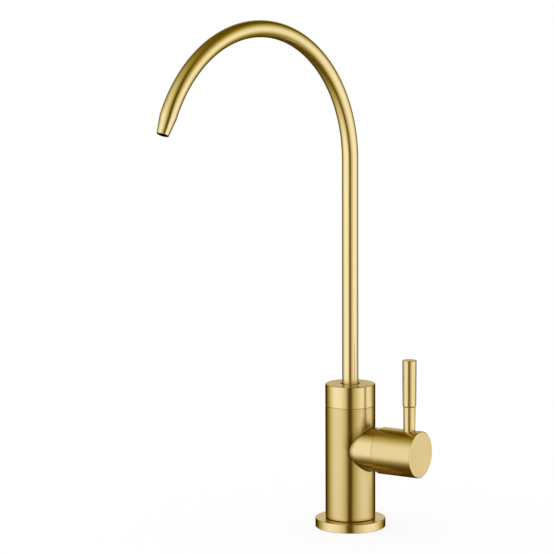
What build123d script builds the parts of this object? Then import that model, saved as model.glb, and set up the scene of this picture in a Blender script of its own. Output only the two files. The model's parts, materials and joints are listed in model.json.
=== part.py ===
from build123d import *
from math import cos, radians, sin, sqrt
import os

# A single-lever drinking-water tap with a swivelling gooseneck spout, in millimetres.
# +Z is up, z = 0 is the deck that the base stands on, and the tap's axis is the Z axis.
# The quarter-turn valve and its handle lie along +X. The lever points up when the tap is shut.

# Fits and small edges
running_fit = 0.05        # radial play of a piece that turns or slides on another
screw_fit = 0.03          # radial play of screwed and brazed joints
slip_gap = 0.05           # play between flat faces that slide on each other
free_gap = 0.3            # room between pieces that pass each other
edge_break = 0.25         # broken edge on turned pieces
rim_round = 0.6           # soft outer rim of flange, collar and handle

# Spout
tube_d = 10.0
tube_wall = 1.0
arch_radius = 82.0
arch_sweep = 155.0        # degrees that the gooseneck bends through
tube_rise = 138.0         # straight tube from the collar's top to the start of the bend
nozzle_length = 10.9
nozzle_tip_d = 7.1
nozzle_wall = 0.8
spout_yaw = -100.0        # degrees about +Z from the handle's side to the spout

# Spout seat: sleeve on the tube's foot, its seals, the slip washer and the guide bush
sleeve_wall = 3.42
sleeve_lip = 1.0
sleeve_flange_w = 1.45
sleeve_flange_t = 2.0
spout_oring_section = 2.0
oring_groove_w = 2.2
groove_land = 0.7
thrust_washer_t = 1.0
bush_wall = 0.9
bush_flange_t = 1.5
bush_recess = 1.6         # bush top below the collar's top

# Collar and body
collar_height = 13.45
collar_spigot_wall = 1.8
collar_spigot_roof = 4.35
body_wall = 3.47
socket_web = 2.0          # metal between the valve chamber and the spout socket
valve_rise = 44.6         # valve axis above the flange's top
stub_proud = 7.0          # how far the side stub stands out of the body
stub_step = 1.3
spigot_wall = 2.2
spigot_length = 2.2
saddle_round = 0.7
foot_break = 0.6          # broken edge at the body's foot, above the flange
inlet_d = 6.0
outlet_d = 4.0
seat_wall = 1.0

# Quarter-turn headwork
disc_d = 14.0
disc_t = 2.2
disc_room = 0.2
disc_lap = 0.02           # oil film between the two lapped ceramics
port_inner_r = 1.6
port_rim = 1.8            # ceramic left outside the ports
port_half_angle = 40.0
ear_w = 2.4
seat_seal_t = 1.4
skirt_wall = 0.9
flow_gap = 0.5
thread_step = 1.4
hex_inset = 0.65          # hex corners inside the spigot's outside
hex_t = 3.45
neck_length = 2.2
neck_wall = 2.75
headwork_oring_section = 1.8
spindle_d = 8.0
spindle_oring_section = 1.6
spindle_oring_pitch = 3.5
spindle_oring_count = 2
foot_t = 1.6
foot_half_angle = 22.0
stop_play_angle = 1.0     # degrees between the foot and each stop rib
turn_angle = 90.0         # degrees from shut to open
outlet_room = 1.1
window_lip = 0.5          # skirt left between the outlet windows and its floor
tongue_w = 2.0
tongue_length = 8.0
tongue_depth = 1.0
clip_t = 0.75
clip_groove_depth = 0.9
clip_margin = 0.8
clip_gap_angle = 60.0
spindle_end_step = 0.4
spindle_flat_depth = 0.6

# Handle
barrel_wall = 1.9
cup_end_room = 0.9        # room between the spindle's clip and the cup's floor
boss_length = 17.85       # solid front of the handle, ahead of its cup
spindle_socket_depth = 11.0
lever_setback = 8.1       # lever axis behind the handle's front face
rod_d = 7.2               # at the barrel
rod_top_d = 7.5
rod_show = 14.7
rod_spot_depth = 1.2
rod_tail_d = 6.0
rod_tail_web = 2.5
grip_foot_d = 8.35
grip_d = 8.65             # at the top
grip_length = 28.8
grip_foot_round = 1.0
grip_top_round = 0.4
tenon_d = 5.0
tenon_length = 10.0
grub_d = 4.0
grub_key = 2.0            # hexagon socket across its corners
grub_key_depth = 2.5
grub_setback = 4.5        # grub screw ahead of the cup's floor
grub_recess = 2.4

# Base, shank and deck fixing
flange_h = 5.5
flange_rim = 6.3          # flange outside the body, all round
gasket_w = 4.0
gasket_t = 1.6
shank_d = 11.1            # 7/16 inch fixing thread
land_step = 0.45          # plain land over the fixing thread
land_depth = 6.0          # land below the deck plane; it centres the tap in the deck hole
register_step = 1.45      # upper thread over the fixing thread
register_lift = 0.5       # register shoulder above the deck plane
shank_engagement = 11.5
shank_oring_section = 1.8
shank_oring_rim = 0.9     # oring's outside within the upper thread
stem_d = 6.35             # 1/4 inch push-fit or compression tube
stem_wall = 0.975
stem_length = 20.0
thread_chamfer = 0.6
deck_thickness = 20.0     # worktop that the clamp stands ready for
rubber_washer_d = 25.0
rubber_washer_t = 3.0
steel_washer_d = 28.0
steel_washer_t = 1.5
nut_wall = 2.95           # from the thread to the flats
nut_h = 8.0
nut_chamfer = 1.0
spare_thread = 13.5

# Radii of the spout seat, from the tube outwards to the body
tube_r = tube_d / 2
bush_bore_r = tube_r + running_fit
bush_r = bush_bore_r + bush_wall
collar_bore_r = bush_r + screw_fit
sleeve_bore_r = tube_r + screw_fit
plug_r = sleeve_bore_r + sleeve_wall
socket_r = plug_r + running_fit
sleeve_flange_r = plug_r + sleeve_flange_w
collar_cavity_r = sleeve_flange_r + free_gap
collar_spigot_r = collar_cavity_r + collar_spigot_wall
counterbore_r = collar_spigot_r + screw_fit
body_r = counterbore_r + body_wall
flange_r = body_r + flange_rim

# Radii of the valve, from the ceramics outwards to the handle
disc_r = disc_d / 2
skirt_bore_r = disc_r + disc_room
skirt_r = skirt_bore_r + skirt_wall
chamber_r = skirt_r + flow_gap
thread_bore_r = chamber_r + thread_step
headwork_r = thread_bore_r - screw_fit
spigot_r = thread_bore_r + spigot_wall
stub_r = spigot_r + stub_step
cup_r = spigot_r + free_gap
barrel_r = cup_r + barrel_wall
hex_corner_r = spigot_r - hex_inset
spindle_r = spindle_d / 2
journal_bore_r = spindle_r + running_fit
neck_r = journal_bore_r + neck_wall
spindle_end_r = spindle_r - spindle_end_step
spindle_socket_r = spindle_end_r + screw_fit
port_outer_r = disc_r - port_rim

# Heights above the deck
valve_z = flange_h + valve_rise
socket_floor_z = valve_z + chamber_r + socket_web
sleeve_foot_z = socket_floor_z + free_gap
lower_groove_z = sleeve_foot_z + groove_land + oring_groove_w / 2
upper_groove_z = lower_groove_z + oring_groove_w + groove_land
ledge_z = upper_groove_z + oring_groove_w / 2 + groove_land
washer_top_z = ledge_z + thrust_washer_t
sleeve_flange_z = washer_top_z + slip_gap
sleeve_top_z = sleeve_flange_z + sleeve_flange_t
bush_foot_z = sleeve_top_z + slip_gap
cavity_top_z = bush_foot_z + bush_flange_t
seam_z = cavity_top_z + collar_spigot_roof
collar_top_z = seam_z + collar_height
tube_foot_z = sleeve_foot_z + sleeve_lip
arch_centre_z = collar_top_z + tube_rise
shank_top_z = flange_h + shank_engagement
shank_hole_top_z = shank_top_z + shank_oring_section

# Places along the valve axis, from the tap's axis outwards
inlet_r = inlet_d / 2
seat_x = inlet_r + seat_wall
fixed_disc_x = seat_x + seat_seal_t
fixed_disc_end_x = fixed_disc_x + disc_t
moving_disc_x = fixed_disc_end_x + disc_lap
moving_disc_end_x = moving_disc_x + disc_t
foot_x = moving_disc_end_x + slip_gap
foot_end_x = foot_x + foot_t
skirt_floor_x = foot_end_x + outlet_room
chamber_end_x = skirt_floor_x + disc_room
stub_end_x = body_r + stub_proud
spigot_end_x = stub_end_x + spigot_length
hex_end_x = spigot_end_x + hex_t
neck_end_x = hex_end_x + neck_length
clip_x = neck_end_x + slip_gap
clip_end_x = clip_x + clip_t
barrel_back_x = stub_end_x + free_gap
cup_floor_x = clip_end_x + cup_end_room
barrel_end_x = cup_floor_x + boss_length
spindle_socket_end_x = cup_floor_x + spindle_socket_depth
spindle_end_x = spindle_socket_end_x - free_gap
lever_x = barrel_end_x - lever_setback
grub_x = cup_floor_x + grub_setback

# Planes and axes that the pieces share
valve_plane = Plane(origin=(0, 0, valve_z), x_dir=(0, 1, 0), z_dir=(1, 0, 0))
valve_axis = Axis((0, 0, valve_z), (1, 0, 0))
valve_section = Plane(origin=(0, 0, valve_z), x_dir=(1, 0, 0), z_dir=(0, -1, 0))
spout_cos = cos(radians(spout_yaw))
spout_sin = sin(radians(spout_yaw))
spout_plane = Plane(origin=(0, 0, 0), x_dir=(spout_cos, spout_sin, 0), z_dir=(spout_sin, -spout_cos, 0))
both_ways = (0, 180)
upright_ways = (90, 270)


def turned(outline, centre_x=0, mode=Mode.ADD):
    """Turn an outline of (radius, height) points about an upright axis, in the part in hand."""
    upright = Axis((centre_x, 0, 0), (0, 0, 1))
    with BuildSketch(Plane(origin=(centre_x, 0, 0), x_dir=(1, 0, 0), z_dir=(0, -1, 0))) as section:
        with BuildLine():
            Polyline(*outline, close=True)
        make_face()
    revolve(section.sketch, axis=upright, mode=mode)


def valve_turned(outline, mode=Mode.ADD):
    """Turn an outline of (place along X, radius) points about the valve axis, in the part in hand."""
    with BuildSketch(valve_section) as section:
        with BuildLine():
            Polyline(*outline, close=True)
        make_face()
    revolve(section.sketch, axis=valve_axis, mode=mode)


def ring_sectors(inner_r, outer_r, half_angle, centres, mode=Mode.ADD):
    """Draw sectors of a ring in the sketch in hand, each centred on one of the given angles."""
    for centre in centres:
        start = centre - half_angle
        with BuildLine() as outline:
            outer_arc = CenterArc((0, 0), outer_r, start, 2 * half_angle)
            inner_arc = CenterArc((0, 0), inner_r, start, 2 * half_angle)
            Line(outer_arc @ 0, inner_arc @ 0)
            Line(outer_arc @ 1, inner_arc @ 1)
        make_face(outline.edges(), mode=mode)


def widest_rim(part, axis, end):
    """The largest circular edge at one end of a part along an axis: 0 is its start, -1 its far end."""
    return part.edges().filter_by(GeomType.CIRCLE).group_by(axis)[end].sort_by(SortBy.RADIUS)[-1]


os.makedirs("parts", exist_ok=True)

# Base flange: a turned foot plate that covers the deck hole, with a groove for its gasket
register_r = shank_d / 2 + register_step
flange_bore_r = register_r + screw_fit
gasket_mid_r = (flange_bore_r + flange_r) / 2
groove_inner_r = gasket_mid_r - gasket_w / 2
groove_outer_r = gasket_mid_r + gasket_w / 2
with BuildPart() as base_flange:
    turned(
        [
            (flange_bore_r, 0),
            (groove_inner_r, 0),
            (groove_inner_r, gasket_t),
            (groove_outer_r, gasket_t),
            (groove_outer_r, 0),
            (flange_r, 0),
            (flange_r, flange_h),
            (flange_bore_r, flange_h),
        ]
    )
    fillet(widest_rim(base_flange, Axis.Z, -1), rim_round)
    chamfer(widest_rim(base_flange, Axis.Z, 0), edge_break)
base_flange.part.label = "base_flange"
export_step(base_flange.part, "parts/base_flange.step")

# Flange gasket: a rubber ring pressed flush into the flange's groove
with BuildPart() as flange_gasket:
    turned(
        [
            (groove_inner_r + screw_fit, 0),
            (groove_outer_r - screw_fit, 0),
            (groove_outer_r - screw_fit, gasket_t),
            (groove_inner_r + screw_fit, gasket_t),
        ]
    )
flange_gasket.part.label = "flange_gasket"
export_step(flange_gasket.part, "parts/flange_gasket.step")

# Body shell: turned body with the side stub, the water ways, the valve chamber and the spout socket
outlet_r = outlet_d / 2
outlet_x = seat_x + outlet_r + disc_room
with BuildPart() as body_shell:
    with BuildSketch(Plane.XY.offset(flange_h)):
        Circle(body_r)
    extrude(amount=seam_z - flange_h)
    with BuildSketch(valve_plane):
        Circle(stub_r)
    extrude(amount=stub_end_x)
    saddle = body_shell.edges().filter_by(lambda e: e.geom_type not in (GeomType.LINE, GeomType.CIRCLE))
    fillet(saddle, saddle_round)
    chamfer(widest_rim(body_shell, Axis.X, -1), edge_break)
    chamfer(widest_rim(body_shell, Axis.Z, -1), edge_break)
    chamfer(widest_rim(body_shell, Axis.Z, 0), foot_break)
    with BuildSketch(valve_plane.offset(stub_end_x)):
        Circle(spigot_r)
    extrude(amount=spigot_length)
    turned(
        [
            (0, flange_h),
            (register_r + screw_fit, flange_h),
            (register_r + screw_fit, shank_hole_top_z),
            (inlet_r, shank_hole_top_z),
            (inlet_r, valve_z + inlet_r),
            (0, valve_z + inlet_r),
        ],
        mode=Mode.SUBTRACT,
    )
    valve_turned(
        [
            (0, 0),
            (0, inlet_r),
            (seat_x, inlet_r),
            (seat_x, chamber_r),
            (chamber_end_x, chamber_r),
            (chamber_end_x, thread_bore_r),
            (spigot_end_x, thread_bore_r),
            (spigot_end_x, 0),
        ],
        mode=Mode.SUBTRACT,
    )
    turned(
        [
            (0, socket_floor_z),
            (socket_r, socket_floor_z),
            (socket_r, ledge_z),
            (counterbore_r, ledge_z),
            (counterbore_r, seam_z),
            (0, seam_z),
        ],
        mode=Mode.SUBTRACT,
    )
    with BuildSketch(Plane.XY.offset(socket_floor_z)):
        with Locations((outlet_x, 0)):
            Circle(outlet_r)
    extrude(amount=-(socket_web + flow_gap), mode=Mode.SUBTRACT)
body_shell.part.label = "body_shell"
export_step(body_shell.part, "parts/body_shell.step")

# Spout collar: the body's upper part, screwed into it, which holds the spout down and guides it
spigot_foot_z = ledge_z + free_gap
with BuildPart() as spout_collar:
    turned(
        [
            (collar_bore_r, cavity_top_z),
            (collar_cavity_r, cavity_top_z),
            (collar_cavity_r, spigot_foot_z),
            (collar_spigot_r, spigot_foot_z),
            (collar_spigot_r, seam_z),
            (body_r - edge_break, seam_z),
            (body_r, seam_z + edge_break),
            (body_r, collar_top_z),
            (collar_bore_r, collar_top_z),
        ]
    )
    fillet(widest_rim(spout_collar, Axis.Z, -1), rim_round)
    chamfer(spout_collar.edges().group_by(Axis.Z)[-1].sort_by(SortBy.RADIUS)[0], edge_break)
spout_collar.part.label = "spout_collar"
export_step(spout_collar.part, "parts/spout_collar.step")

# Swivel bush: plastic guide between the collar and the turning tube
bush_flange_r = collar_cavity_r - screw_fit
with BuildPart() as swivel_bush:
    turned(
        [
            (bush_bore_r, bush_foot_z),
            (bush_flange_r, bush_foot_z),
            (bush_flange_r, cavity_top_z),
            (bush_r, cavity_top_z),
            (bush_r, collar_top_z - bush_recess),
            (bush_bore_r, collar_top_z - bush_recess),
        ]
    )
swivel_bush.part.label = "swivel_bush"
export_step(swivel_bush.part, "parts/swivel_bush.step")

# Thrust washer: slip washer on the body's ledge, under the sleeve's flange
with BuildPart() as thrust_washer:
    turned(
        [
            (socket_r, ledge_z),
            (collar_cavity_r - screw_fit, ledge_z),
            (collar_cavity_r - screw_fit, washer_top_z),
            (socket_r, washer_top_z),
        ]
    )
thrust_washer.part.label = "thrust_washer"
export_step(thrust_washer.part, "parts/thrust_washer.step")

# Spout tube: straight rise, a wide bend, and a short nozzle that tapers to the outlet
with BuildPart() as spout_tube:
    with BuildLine(spout_plane) as spout_path:
        rise = Line((0, tube_foot_z), (0, arch_centre_z))
        bend = JernArc(rise @ 1, rise % 1, arch_radius, -arch_sweep)
    with BuildSketch(Plane.XY.offset(tube_foot_z)):
        Circle(tube_r)
        Circle(tube_r - tube_wall, mode=Mode.SUBTRACT)
    sweep(path=spout_path.wire())
    nozzle_plane = Plane(origin=spout_path.wire() @ 1, z_dir=spout_path.wire() % 1)
    with Locations(nozzle_plane):
        Cone(tube_r, nozzle_tip_d / 2, nozzle_length, align=(Align.CENTER, Align.CENTER, Align.MIN))
        Cone(
            tube_r - tube_wall,
            nozzle_tip_d / 2 - nozzle_wall,
            nozzle_length,
            align=(Align.CENTER, Align.CENTER, Align.MIN),
            mode=Mode.SUBTRACT,
        )
spout_tube.part.label = "spout_tube"
export_step(spout_tube.part, "parts/spout_tube.step")

# Spout end sleeve: brazed on the tube's foot, with two seal grooves and a flange under the collar
oring_seat_r = plug_r - spout_oring_section
lower_groove = (lower_groove_z - oring_groove_w / 2, lower_groove_z + oring_groove_w / 2)
upper_groove = (upper_groove_z - oring_groove_w / 2, upper_groove_z + oring_groove_w / 2)
with BuildPart() as spout_end_sleeve:
    turned(
        [
            (tube_r - tube_wall, sleeve_foot_z),
            (plug_r, sleeve_foot_z),
            (plug_r, lower_groove[0]),
            (oring_seat_r, lower_groove[0]),
            (oring_seat_r, lower_groove[1]),
            (plug_r, lower_groove[1]),
            (plug_r, upper_groove[0]),
            (oring_seat_r, upper_groove[0]),
            (oring_seat_r, upper_groove[1]),
            (plug_r, upper_groove[1]),
            (plug_r, sleeve_flange_z),
            (sleeve_flange_r, sleeve_flange_z),
            (sleeve_flange_r, sleeve_top_z),
            (sleeve_bore_r, sleeve_top_z),
            (sleeve_bore_r, tube_foot_z),
            (tube_r - tube_wall, tube_foot_z),
        ]
    )
spout_end_sleeve.part.label = "spout_end_sleeve"
export_step(spout_end_sleeve.part, "parts/spout_end_sleeve.step")

# Spout O-rings: the two rubber seals in the sleeve's grooves
spout_oring_r = spout_oring_section / 2
with BuildPart() as spout_orings:
    with Locations((0, 0, lower_groove_z), (0, 0, upper_groove_z)):
        Torus(oring_seat_r + spout_oring_r, spout_oring_r)
spout_orings.part.label = "spout_orings"
export_step(spout_orings.part, "parts/spout_orings.step")

# Threaded shank: hollow tail screwed into the body. Below the deck plane come a plain land, the thread for
# the lock nut and the inlet stem.
shank_r = shank_d / 2
land_r = shank_r + land_step
stem_r = stem_d / 2
shank_bore_r = stem_r - stem_wall
clamp_stack = rubber_washer_t + steel_washer_t + nut_h
shank_foot_z = -(deck_thickness + clamp_stack + spare_thread)
stem_foot_z = shank_foot_z - stem_length
with BuildPart() as threaded_shank:
    turned(
        [
            (shank_bore_r, stem_foot_z),
            (stem_r - thread_chamfer, stem_foot_z),
            (stem_r, stem_foot_z + thread_chamfer),
            (stem_r, shank_foot_z),
            (shank_r - thread_chamfer, shank_foot_z),
            (shank_r, shank_foot_z + thread_chamfer),
            (shank_r, -land_depth),
            (land_r, -land_depth),
            (land_r, register_lift),
            (register_r, register_lift),
            (register_r, shank_top_z),
            (shank_bore_r, shank_top_z),
        ]
    )
threaded_shank.part.label = "threaded_shank"
export_step(threaded_shank.part, "parts/threaded_shank.step")

# Shank O-ring: face seal between the shank's top and the body
shank_oring_r = shank_oring_section / 2
with BuildPart() as shank_oring:
    with Locations((0, 0, shank_top_z + shank_oring_r)):
        Torus(register_r - shank_oring_rim - shank_oring_r, shank_oring_r)
shank_oring.part.label = "shank_oring"
export_step(shank_oring.part, "parts/shank_oring.step")

# Seat seal: rubber ring between the body's seat and the fixed ceramic, outside the ports
with BuildPart() as seat_seal:
    valve_turned(
        [
            (seat_x, port_outer_r + disc_room),
            (seat_x, disc_r),
            (fixed_disc_x, disc_r),
            (fixed_disc_x, port_outer_r + disc_room),
        ]
    )
seat_seal.part.label = "seat_seal"
export_step(seat_seal.part, "parts/seat_seal.step")

# Fixed ceramic disc: two ports to the sides, and two ears that key it in the headwork's skirt
with BuildPart() as fixed_ceramic_disc:
    with BuildSketch(valve_plane.offset(fixed_disc_x)):
        Circle(disc_r)
        Rectangle(ear_w, 2 * skirt_r)
        ring_sectors(port_inner_r, port_outer_r, port_half_angle, both_ways, mode=Mode.SUBTRACT)
    extrude(amount=disc_t)
fixed_ceramic_disc.part.label = "fixed_ceramic_disc"
export_step(fixed_ceramic_disc.part, "parts/fixed_ceramic_disc.step")

# Moving ceramic disc: two ports that stand square to the fixed ones when shut, and a slot for the spindle
shut_ways = [way - turn_angle for way in both_ways]
with BuildPart() as moving_ceramic_disc:
    with BuildSketch(valve_plane.offset(moving_disc_x)):
        Circle(disc_r)
        ring_sectors(port_inner_r, port_outer_r, port_half_angle, shut_ways, mode=Mode.SUBTRACT)
    extrude(amount=disc_t)
    with BuildSketch(valve_plane.offset(moving_disc_end_x)):
        Rectangle(tongue_length + 2 * screw_fit, tongue_w + 2 * screw_fit)
    extrude(amount=-(tongue_depth + slip_gap), mode=Mode.SUBTRACT)
moving_ceramic_disc.part.label = "moving_ceramic_disc"
export_step(moving_ceramic_disc.part, "parts/moving_ceramic_disc.step")

# Headwork body: brass valve body screwed into the stub. Its skirt holds the ceramics, with ear slots,
# outlet windows and two stop ribs, and its bore carries the spindle.
skirt_mouth_x = fixed_disc_x + free_gap
headwork_oring_r = headwork_oring_section / 2
headwork_groove_x = chamber_end_x + disc_room + groove_land
headwork_groove_end_x = headwork_groove_x + headwork_oring_section + disc_room
headwork_groove_r = headwork_r - headwork_oring_section
rib_centres = [way + (180 + turn_angle) / 2 for way in both_ways]
rib_half_angle = (180 - turn_angle) / 2 - foot_half_angle - stop_play_angle
window_half_angle = foot_half_angle - stop_play_angle
with BuildPart() as headwork_body:
    valve_turned(
        [
            (skirt_mouth_x, 0),
            (skirt_mouth_x, skirt_r),
            (chamber_end_x + disc_room, skirt_r),
            (chamber_end_x + disc_room, headwork_r),
            (headwork_groove_x, headwork_r),
            (headwork_groove_x, headwork_groove_r),
            (headwork_groove_end_x, headwork_groove_r),
            (headwork_groove_end_x, headwork_r),
            (spigot_end_x, headwork_r),
            (spigot_end_x, neck_r),
            (neck_end_x, neck_r),
            (neck_end_x, 0),
        ]
    )
    with BuildSketch(valve_plane.offset(spigot_end_x)):
        RegularPolygon(hex_corner_r, 6)
    extrude(amount=hex_t)
    valve_turned(
        [
            (skirt_mouth_x, 0),
            (skirt_mouth_x, skirt_bore_r),
            (skirt_floor_x, skirt_bore_r),
            (skirt_floor_x, journal_bore_r),
            (neck_end_x, journal_bore_r),
            (neck_end_x, 0),
        ],
        mode=Mode.SUBTRACT,
    )
    with BuildSketch(valve_plane.offset(skirt_mouth_x)):
        Rectangle(ear_w + 2 * running_fit, 2 * chamber_r)
    extrude(amount=fixed_disc_end_x + slip_gap - skirt_mouth_x, mode=Mode.SUBTRACT)
    with BuildSketch(valve_plane.offset(foot_x)):
        ring_sectors(disc_r, chamber_r, window_half_angle, upright_ways)
    extrude(amount=foot_t + outlet_room - window_lip, mode=Mode.SUBTRACT)
    with BuildSketch(valve_plane.offset(foot_x)):
        ring_sectors(spindle_r + free_gap, skirt_r, rib_half_angle, rib_centres)
    extrude(amount=skirt_floor_x - foot_x)
headwork_body.part.label = "headwork_body"
export_step(headwork_body.part, "parts/headwork_body.step")

# Headwork O-ring: seals the headwork in the stub's bore
headwork_oring_x = (headwork_groove_x + headwork_groove_end_x) / 2
with BuildPart() as headwork_oring:
    with BuildSketch(valve_section):
        with Locations((headwork_oring_x, headwork_groove_r + headwork_oring_r)):
            Circle(headwork_oring_r)
    revolve(axis=valve_axis)
headwork_oring.part.label = "headwork_oring"
export_step(headwork_oring.part, "parts/headwork_oring.step")

# Valve spindle: a two-lobed foot with a tongue that turns the ceramic, a sealed stem and a flatted end
spindle_oring_r = spindle_oring_section / 2
spindle_oring_x = [skirt_floor_x + spindle_oring_pitch * (n + 1) for n in range(spindle_oring_count)]
spindle_groove_half = oring_groove_w / 2
spindle_groove_r = spindle_r - spindle_oring_section
clip_groove_r = spindle_r - clip_groove_depth
lobe_r = skirt_bore_r - free_gap
with BuildPart() as valve_spindle:
    valve_turned(
        [
            (foot_x, 0),
            (foot_x, spindle_r),
            (clip_end_x + slip_gap, spindle_r),
            (clip_end_x + slip_gap, spindle_end_r),
            (spindle_end_x, spindle_end_r),
            (spindle_end_x, 0),
        ]
    )
    with BuildSketch(valve_plane.offset(foot_x)):
        ring_sectors(spindle_r / 2, lobe_r, foot_half_angle, both_ways)
    extrude(amount=foot_t)
    with BuildSketch(valve_plane.offset(foot_x)):
        Rectangle(tongue_length, tongue_w)
    extrude(amount=-(tongue_depth + slip_gap))
    for groove_x in spindle_oring_x:
        valve_turned(
            [
                (groove_x - spindle_groove_half, spindle_groove_r),
                (groove_x - spindle_groove_half, journal_bore_r),
                (groove_x + spindle_groove_half, journal_bore_r),
                (groove_x + spindle_groove_half, spindle_groove_r),
            ],
            mode=Mode.SUBTRACT,
        )
    valve_turned(
        [
            (clip_x - slip_gap, clip_groove_r),
            (clip_x - slip_gap, journal_bore_r),
            (clip_end_x + slip_gap, journal_bore_r),
            (clip_end_x + slip_gap, clip_groove_r),
        ],
        mode=Mode.SUBTRACT,
    )
    flat_z = valve_z - spindle_end_r + spindle_flat_depth
    with BuildSketch(Plane.XY.offset(flat_z)):
        with Locations(((cup_floor_x + spindle_end_x) / 2, 0)):
            Rectangle(spindle_end_x - cup_floor_x, 2 * spindle_r)
    extrude(amount=-spindle_r, mode=Mode.SUBTRACT)
valve_spindle.part.label = "valve_spindle"
export_step(valve_spindle.part, "parts/valve_spindle.step")

# Spindle O-rings: the two seals on the stem
with BuildPart() as spindle_orings:
    with BuildSketch(valve_section):
        for groove_x in spindle_oring_x:
            with Locations((groove_x, spindle_groove_r + spindle_oring_r)):
                Circle(spindle_oring_r)
    revolve(axis=valve_axis)
spindle_orings.part.label = "spindle_orings"
export_step(spindle_orings.part, "parts/spindle_orings.step")

# Spindle clip: open spring ring that keeps the spindle in the headwork
clip_half_angle = (360 - clip_gap_angle) / 2
with BuildPart() as spindle_clip:
    with BuildSketch(valve_plane.offset(clip_x)):
        ring_sectors(clip_groove_r + screw_fit, neck_r - clip_margin, clip_half_angle, upright_ways[:1])
    extrude(amount=clip_t)
spindle_clip.part.label = "spindle_clip"
export_step(spindle_clip.part, "parts/spindle_clip.step")

# Handle barrel: round cup over the headwork. Its solid front takes the spindle, grub screw and lever.
rod_r = rod_d / 2
rod_tail_r = rod_tail_d / 2
rod_foot_z = valve_z + barrel_r - rod_spot_depth
tail_foot_z = valve_z + spindle_socket_r + rod_tail_web
grub_r = grub_d / 2
with BuildPart() as handle_barrel:
    valve_turned(
        [
            (barrel_back_x, cup_r),
            (cup_floor_x, cup_r),
            (cup_floor_x, spindle_socket_r),
            (spindle_socket_end_x, spindle_socket_r),
            (spindle_socket_end_x, 0),
            (barrel_end_x, 0),
            (barrel_end_x, barrel_r),
            (barrel_back_x, barrel_r),
        ]
    )
    fillet(widest_rim(handle_barrel, Axis.X, -1), rim_round)
    chamfer(widest_rim(handle_barrel, Axis.X, 0), edge_break)
    with BuildSketch(Plane.XY.offset(rod_foot_z)):
        with Locations((lever_x, 0)):
            Circle(rod_r + screw_fit)
    extrude(amount=2 * rod_spot_depth, mode=Mode.SUBTRACT)
    with BuildSketch(Plane.XY.offset(rod_foot_z)):
        with Locations((lever_x, 0)):
            Circle(rod_tail_r + screw_fit)
    extrude(amount=tail_foot_z - slip_gap - rod_foot_z, mode=Mode.SUBTRACT)
    with BuildSketch(Plane.XY.offset(valve_z)):
        with Locations((grub_x, 0)):
            Circle(grub_r + screw_fit)
    extrude(amount=-2 * barrel_r, mode=Mode.SUBTRACT)
handle_barrel.part.label = "handle_barrel"
export_step(handle_barrel.part, "parts/handle_barrel.step")

# Lever rod: thin lower lever that widens upwards, screwed into the barrel by its tail, with a tenon for the
# grip
barrel_top_z = valve_z + barrel_r
rod_top_z = barrel_top_z + rod_show
with BuildPart() as lever_rod:
    turned(
        [
            (0, tail_foot_z),
            (rod_tail_r, tail_foot_z),
            (rod_tail_r, rod_foot_z),
            (rod_r, rod_foot_z),
            (rod_r, barrel_top_z),
            (rod_top_d / 2, rod_top_z),
            (tenon_d / 2, rod_top_z),
            (tenon_d / 2, rod_top_z + tenon_length),
            (0, rod_top_z + tenon_length),
        ],
        centre_x=lever_x,
    )
lever_rod.part.label = "lever_rod"
export_step(lever_rod.part, "parts/lever_rod.step")

# Lever grip: thicker upper lever, slightly tapered, bored for the rod's tenon, with a rounded foot
tenon_hole_r = tenon_d / 2 + screw_fit
grip_foot_r = grip_foot_d / 2
grip_r = grip_d / 2
with BuildPart() as lever_grip:
    turned(
        [
            (tenon_hole_r, rod_top_z),
            (grip_foot_r, rod_top_z),
            (grip_r, rod_top_z + grip_length),
            (0, rod_top_z + grip_length),
            (0, rod_top_z + tenon_length + free_gap),
            (tenon_hole_r, rod_top_z + tenon_length + free_gap),
        ],
        centre_x=lever_x,
    )
    fillet(widest_rim(lever_grip, Axis.Z, 0), min(grip_foot_round, grip_foot_r - tenon_hole_r - edge_break))
    fillet(widest_rim(lever_grip, Axis.Z, -1), grip_top_round)
lever_grip.part.label = "lever_grip"
export_step(lever_grip.part, "parts/lever_grip.step")

# Handle grub screw: socket set screw from below, against the spindle's flat
grub_head_z = valve_z - barrel_r + grub_recess
with BuildPart() as handle_grub_screw:
    with BuildSketch(Plane.XY.offset(flat_z - slip_gap)):
        with Locations((grub_x, 0)):
            Circle(grub_r)
    extrude(amount=grub_head_z - (flat_z - slip_gap))
    with BuildSketch(Plane.XY.offset(grub_head_z)):
        with Locations((grub_x, 0)):
            RegularPolygon(grub_key / 2, 6)
    extrude(amount=grub_key_depth, mode=Mode.SUBTRACT)
handle_grub_screw.part.label = "handle_grub_screw"
export_step(handle_grub_screw.part, "parts/handle_grub_screw.step")

# Deck rubber washer: takes up the underside of the worktop
deck_foot_z = -deck_thickness
rubber_foot_z = deck_foot_z - rubber_washer_t
washer_bore_r = land_r + free_gap
with BuildPart() as deck_rubber_washer:
    with BuildSketch(Plane.XY.offset(rubber_foot_z)):
        Circle(rubber_washer_d / 2)
        Circle(washer_bore_r, mode=Mode.SUBTRACT)
    extrude(amount=rubber_washer_t)
deck_rubber_washer.part.label = "deck_rubber_washer"
export_step(deck_rubber_washer.part, "parts/deck_rubber_washer.step")

# Deck steel washer: spreads the nut's load
steel_foot_z = rubber_foot_z - steel_washer_t
with BuildPart() as deck_steel_washer:
    with BuildSketch(Plane.XY.offset(steel_foot_z)):
        Circle(steel_washer_d / 2)
        Circle(washer_bore_r, mode=Mode.SUBTRACT)
    extrude(amount=steel_washer_t)
deck_steel_washer.part.label = "deck_steel_washer"
export_step(deck_steel_washer.part, "parts/deck_steel_washer.step")

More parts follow.
